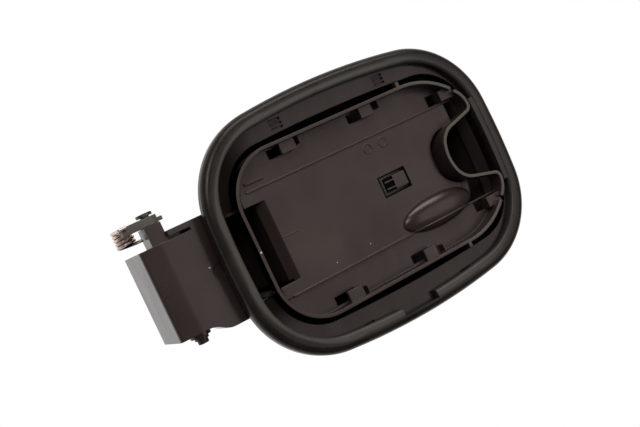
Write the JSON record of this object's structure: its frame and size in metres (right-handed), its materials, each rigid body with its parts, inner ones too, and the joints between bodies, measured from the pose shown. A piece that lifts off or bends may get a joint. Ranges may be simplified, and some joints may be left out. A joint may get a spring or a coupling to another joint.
{
  "type": "fuel filler housing",
  "caption": "Oval bowl with a sealed rim, a hinged flap carrier with a finger notch, and a side hinge chamber with a lever and an over-centre torsion spring.",
  "frame": {"origin": "centre of the filler neck's bore, in the plane of the rear face", "axes": "+Z out of the mouth towards the user, +X from the hinge towards the finger notch, +Y along the hinge pin towards its head"},
  "size_m": [0.2383, 0.15, 0.0665],
  "materials": {
    "shell_plastic": "satin black moulding",
    "seal_rubber": "soft black",
    "carrier_plastic": "satin black moulding",
    "pin_steel": "dark plated",
    "lever_plastic": "satin dark grey",
    "spring_wire": "copper-coloured drawn wire",
    "cap_plastic": "satin black",
    "collar_rubber": "soft black"
  },
  "bodies": {
    "housing": {"housing_shell": "shell_plastic", "rim_seal": "seal_rubber", "neck_collar": "collar_rubber"},
    "flap": {"flap_carrier": "carrier_plastic", "hinge_pin": "pin_steel", "crank_lever": "lever_plastic", "retaining_cap": "cap_plastic", "torsion_spring": "spring_wire"}
  },
  "joints": [
    {"name": "flap_hinge", "type": "hinge", "parent": "housing", "child": "flap", "pos_m": [-0.121, 0, 0.042], "axis": [0, -1, 0], "range_deg": [0, 80], "deforming": ["torsion_spring"]}
  ]
}
